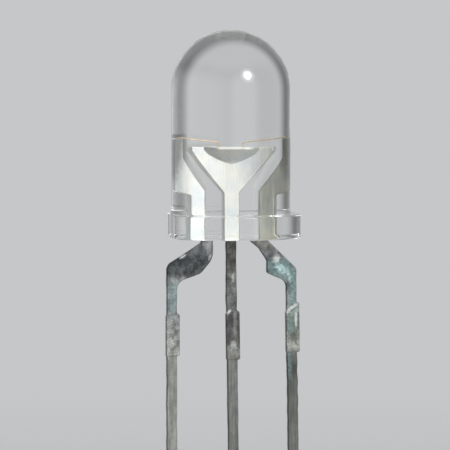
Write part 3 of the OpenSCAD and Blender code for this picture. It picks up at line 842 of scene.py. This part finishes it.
# The contact pad: a low round disc with a rounded rim.
def padSkin(x):
    angle = np.arange(chip["padColumns"]) * 2 * math.pi / chip["padColumns"]
    circle = np.stack([np.cos(angle), np.sin(angle)], axis=1)
    r, t = chip["padRadius"], chip["padThickness"]
    levels = [(r, dieTop - 0.004), (r, dieTop + 0.5 * t), (r - 0.3 * t, dieTop + t)]
    rings = [np.column_stack([q * circle + [x, 0], np.full(len(circle), z)]) for q, z in levels]
    return ringSkin(np.array(rings))


# Glue that turns from an uneven round foot into the die's square as it climbs, steeper near the die: its
# height goes by a power of the way from foot to wall.
def glueSkin(x, seed):
    rng = np.random.default_rng(seed)
    angle = (np.arange(chip["columns"]) + 0.5) * 2 * math.pi / chip["columns"]
    wobble = sum(rng.uniform(-0.012, 0.006) * np.cos(k * angle + rng.uniform(0, 6)) for k in (2, 3, 5))
    foot = (chip["glueFoot"] - 0.012 + wobble)[:, None] * np.stack([np.cos(angle), np.sin(angle)], axis=1)
    wall = squareRing(chip["side"] / 2 + 0.002)
    rings = []
    for v in np.linspace(0, 1, chip["glueRows"]):
        z = bowlFloor + chip["glueClimb"] * v ** chip["glueCurve"]
        rings.append(np.column_stack([foot * (1 - v) + wall * v + [x, 0], np.full(chip["columns"], z)]))
    return ringSkin(np.array(rings))


# The ball's two profiles are shares of its height and radius, from the pad upwards.
wire = {
    "radius": 0.02, "ballRadius": 0.0475, "ballHeight": 0.035, "bendRise": 0.2, "bendRadius": 0.07,
    "levelRise": 0.08, "loopRise": 0.04, "stitchLength": 0.16, "stitchReach": 0.28, "taper": 0.12,
    "ballRise": (0, 0.12, 0.3, 0.5, 0.7, 0.88, 1.0), "ballBulge": (0.84, 0.94, 0.99, 1.0, 0.97, 0.86, 0.7),
    "sides": 20,
}


# The path's stations [x, z, half width, half height], outwards from the die: pressed ball, neck, rise,
# bend, loop and a taper into the flat stitch. The loop leaves the bend by a cube and comes down to the
# stitch by another.
def wireStations():
    r, start = wire["radius"], chip["span"] / 2
    padTop = dieTop + chip["padThickness"]
    bendZ, wingZ = leadSize["headZ"] + wire["bendRise"], leadSize["wingZ"]
    levelZ, loopZ = bendZ + wire["levelRise"], wingZ + wire["loopRise"]
    stitch = wingIn + wire["stitchReach"]
    bendEnd, loopEnd = start + wire["bendRadius"], stitch - wire["stitchLength"] - wire["taper"]
    bulge = wire["ballRadius"] * np.array(wire["ballBulge"])
    ball = np.column_stack([
        np.full(len(bulge), start), padTop + wire["ballHeight"] * np.array(wire["ballRise"]), bulge, bulge
    ])
    neck = np.array([
        [start, padTop + wire["ballHeight"] * 1.12, r * 1.15, r * 1.15],
        [start, padTop + wire["ballHeight"] * 1.5, r, r],
    ])
    riseZ = np.linspace(padTop + 0.07, bendZ - wire["bendRadius"], 6)
    rise = np.column_stack([np.full(6, start), riseZ, np.full((6, 2), r)])
    bend = arc((bendEnd, bendZ - wire["bendRadius"]), wire["bendRadius"], 180, 100, 8)[1:]
    bend = np.column_stack([bend, np.full((8, 2), r)])
    s = np.linspace(0.03, 1, 24)
    loop = np.column_stack([
        bendEnd + (loopEnd - bendEnd) * s,
        levelZ - wire["levelRise"] * (1 - s) ** 3 + (loopZ - levelZ) * s ** 3,
        np.full((24, 2), r),
    ])
    down = np.linspace(0, 1, 12)[1:]
    ease = down * down * (3 - 2 * down)
    taper = np.column_stack([
        loopEnd + wire["taper"] * down,
        loopZ * (1 - ease) + (wingZ + r / 2) * ease,
        r + 0.6 * r * ease,
        r - 0.5 * r * ease,
    ])
    flat = np.array([
        [stitch - wire["stitchLength"] * 0.5, wingZ + r / 2, 1.6 * r, r / 2],
        [stitch, wingZ + r * 0.4, 1.5 * r, r * 0.4],
    ])
    return np.vstack([ball, neck, rise, bend, loop, taper, flat])


# A tube in the X-Z plane through the stations: each ring is an ellipse across the path, whose normal is
# the path's own direction turned by a right angle. Up to the neck the path points straight up.
def wireSkin(side):
    stations = wireStations()
    along = np.gradient(stations[:, :2], axis=0)
    along[:len(wire["ballRise"]) + 1] = [0, 1]
    along /= np.linalg.norm(along, axis=1)[:, None]
    angle = np.arange(wire["sides"]) * 2 * math.pi / wire["sides"]
    across = stations[:, 3:4] * np.sin(angle)
    x = stations[:, 0:1] - along[:, 1:2] * across
    z = stations[:, 1:2] + along[:, 0:1] * across
    y = stations[:, 2:3] * np.cos(angle)
    return ringSkin(np.stack([side * x, y, z], axis=-1))


dieLooks = {-1: ("left", amberChip, "die_amber"), 1: ("right", greenChip, "die_green")}
for side, (word, chipLook, slot) in dieLooks.items():
    x = side * chip["span"] / 2
    makePiece(word + "Die", [dieSkin(x)], chipLook, [word + "_die"])
    makePiece(word + "DiePad", [padSkin(x)], goldMetal)
    makePiece(word + "DieGlue", [glueSkin(x, 20 + side)], glueSilver, [word + "_die_glue"])
    makePiece(word + "BondWire", [wireSkin(side)], goldMetal, [word + "_bond_wire"])
print("dies and wires made")


# Studio

# Strengths of 1 are white. Directions point from the part. Pairs are where a fade starts and ends.
studio = {
    "pale": (0.56, 0.57, 0.58, 1), "seenColour": (0.97, 0.99, 1.0, 1), "floorColour": (0.66, 0.665, 0.67, 1),
    "floorRadius": 0.35, "floorFade": (0.08, 0.3), "lightStrength": 0.62,
    "behind": 0.52, "infront": 0.17, "above": 0.8, "below": 0.35,
    "flagDarkness": 0.65, "frontFlag": 0.8, "flagInside": (0.6, 0.82), "flagOutside": (0.995, 0.96),
    "flagTop": (0.85, 0.45),
    "softboxDirection": (0.389, -0.917, 0.087), "softboxFade": (0.8, 0.98), "softboxStrength": 1.55,
    "keyDirection": (0.44, -0.77, 0.462), "keyAim": 6.2 * mm, "keyDistance": 0.3, "haloDistance": 0.305,
    "keyRadius": 0.046, "keyRadiance": 9, "haloRadius": 0.075, "haloRadiance": 1.9,
}


# A floor under the lead tips that takes the object's shadow and fades into the backdrop further out.
# Mirrors and clear resin look through it, at the same pale backdrop, and from below it isn't there.
def makeFloor():
    material, tree = newMaterial("studioFloor")
    place = node(tree, "TexCoord").outputs["Object"]
    away = node(tree, "VectorMath", {0: place}, operation="LENGTH").outputs["Value"]
    rays = node(tree, "LightPath").outputs
    mirrored = sums(tree, "MAXIMUM", rays["Is Glossy Ray"], rays["Is Transmission Ray"])
    far = sums(tree, "MAXIMUM", smooth(tree, away, *studio["floorFade"]), mirrored)
    far = sums(tree, "MAXIMUM", far, node(tree, "NewGeometry").outputs["Backfacing"])
    lit = node(tree, "BsdfPrincipled", {"Base Color": studio["floorColour"], "Roughness": 0.9})
    clear = node(tree, "BsdfTransparent")
    output(tree, node(tree, "MixShader", {0: far, 1: lit.outputs[0], 2: clear.outputs[0]}).outputs[0])
    corners = 96
    angle = np.linspace(0, 2 * math.pi, corners, endpoint=False)
    r, z = studio["floorRadius"], cadBox[0][2]
    points = np.column_stack([r * np.cos(angle), r * np.sin(angle), np.full(corners, z)])
    mesh = bpy.data.meshes.new("floor")
    mesh.from_pydata(points.tolist(), [], [list(range(corners))])
    mesh.materials.append(material)
    floor = bpy.data.objects.new("floor", mesh)
    bpy.context.scene.collection.objects.link(floor)


# The flags' share at a heading: four soft upright bands on the diagonals, which lean in below. Aside is
# the root of (x squared + low squared) over (1 - z squared + low squared), low being z below level.
def flagShare(tree, x, z):
    low = sums(tree, "MINIMUM", z, 0.0)
    low = times(tree, low, low)
    level = sums(tree, "ADD", sums(tree, "SUBTRACT", 1.0, times(tree, z, z)), low)
    aside = sums(tree, "DIVIDE", sums(tree, "ADD", times(tree, x, x), low), level)
    aside = sums(tree, "POWER", aside, 0.5)
    inner = smooth(tree, aside, *studio["flagInside"])
    outer = smooth(tree, aside, *studio["flagOutside"])
    return times(tree, times(tree, inner, outer), smooth(tree, z, *studio["flagTop"]))


# A plain pale backdrop to the camera and plain soft light to dull surfaces. What is seen through the
# resin is the same backdrop with dark flags, which draw the resin's edges. Mirrors see it a little darker
# in front than behind, with a soft light box to the right.
def makeWorld():
    world = bpy.data.worlds.new("studio")
    bpy.context.scene.world = world
    world.use_nodes = True
    tree = world.node_tree
    tree.nodes.clear()
    rays = node(tree, "LightPath").outputs
    unmirrored = sums(tree, "LESS_THAN", rays["Glossy Depth"], 0.5)
    through = times(tree, rays["Is Transmission Ray"], unmirrored)
    heading = node(tree, "TexCoord").outputs["Generated"]
    x, y, z = node(tree, "SeparateXYZ", {0: heading}).outputs[:3]
    flagged = smooth(tree, y, -0.3, 0.0, studio["frontFlag"], 1.0)
    flagged = times(tree, flagShare(tree, x, z), sums(tree, "MAXIMUM", flagged, through))
    unflagged = sums(tree, "SUBTRACT", 1.0, times(tree, flagged, studio["flagDarkness"]))
    facing = node(
        tree, "VectorMath", {0: heading, 1: studio["softboxDirection"]}, operation="DOT_PRODUCT"
    ).outputs["Value"]
    softbox = smooth(tree, facing, *studio["softboxFade"], 0.0, studio["softboxStrength"])
    room = smooth(tree, y, -0.3, 0.3, studio["infront"], studio["behind"])
    mirrored = sums(tree, "ADD", room, softbox)
    mirrored = sums(tree, "ADD", mirrored, smooth(tree, z, -0.3, -0.8, 0.0, studio["below"]))
    around = blended(tree, through, mirrored, studio["behind"])
    around = blended(tree, smooth(tree, z, 0.4, 0.9), around, studio["above"])
    strength = times(tree, around, unflagged)
    seen = node(tree, "Background", {"Color": studio["seenColour"], "Strength": strength})
    light = node(tree, "Background", {"Color": (1, 1, 1, 1), "Strength": studio["lightStrength"]})
    backdrop = node(tree, "Background", {"Color": studio["pale"], "Strength": 1.0})
    sharp = sums(tree, "MAXIMUM", rays["Is Glossy Ray"], rays["Is Transmission Ray"])
    lighting = node(tree, "MixShader", {0: sharp, 1: light.outputs[0], 2: seen.outputs[0]}).outputs[0]
    toCamera = rays["Is Camera Ray"]
    both = node(tree, "MixShader", {0: toCamera, 1: lighting, 2: backdrop.outputs[0]})
    node(tree, "OutputWorld", {"Surface": both.outputs[0]})


# A round lamp in front to the right: its watts are its radiance times pi times its disc's area.
def makeLamp(name, radius, radiance, distance):
    towards = Vector(studio["keyDirection"]).normalized()
    data = bpy.data.lights.new(name, "AREA")
    data.shape = "DISK"
    data.size = 2 * radius
    data.energy = radiance * math.pi * math.pi * radius ** 2
    lamp = bpy.data.objects.new(name, data)
    lamp.location = towards * distance + Vector((0, 0, studio["keyAim"]))
    lamp.rotation_mode = "QUATERNION"
    lamp.rotation_quaternion = towards.to_track_quat("Z", "Y")
    lamp.visible_camera = False
    lamp.visible_transmission = False
    bpy.context.scene.collection.objects.link(lamp)


# Angles in degrees. The frame's height is what the square picture takes in at the target.
view = {
    "azimuth": -6, "elevation": 3, "distance": 0.3, "frameHeight": 18.87 * mm,
    "target": (-0.24 * mm, 0.025 * mm, 0.515 * mm), "sensor": 36, "nearest": 0.01,
}


# The lens that takes in frameHeight at the target: sensor times distance over that height.
def makeCamera():
    a, e = math.radians(view["azimuth"]), math.radians(view["elevation"])
    back = Vector((math.sin(a) * math.cos(e), -math.cos(a) * math.cos(e), math.sin(e)))
    data = bpy.data.cameras.new("camera")
    data.sensor_width = view["sensor"]
    data.lens = view["sensor"] * view["distance"] / view["frameHeight"]
    data.clip_start = view["nearest"]
    camera = bpy.data.objects.new("camera", data)
    camera.location = Vector(view["target"]) + back * view["distance"]
    camera.rotation_mode = "QUATERNION"
    camera.rotation_quaternion = back.to_track_quat("Z", "Y")
    bpy.context.scene.collection.objects.link(camera)
    bpy.context.scene.camera = camera


makeFloor()
makeWorld()
makeLamp("keyLight", studio["keyRadius"], studio["keyRadiance"], studio["keyDistance"])
makeLamp("keyHalo", studio["haloRadius"], studio["haloRadiance"], studio["haloDistance"])
makeCamera()
bpy.context.scene.view_settings.view_transform = "Standard"
print("studio ready")
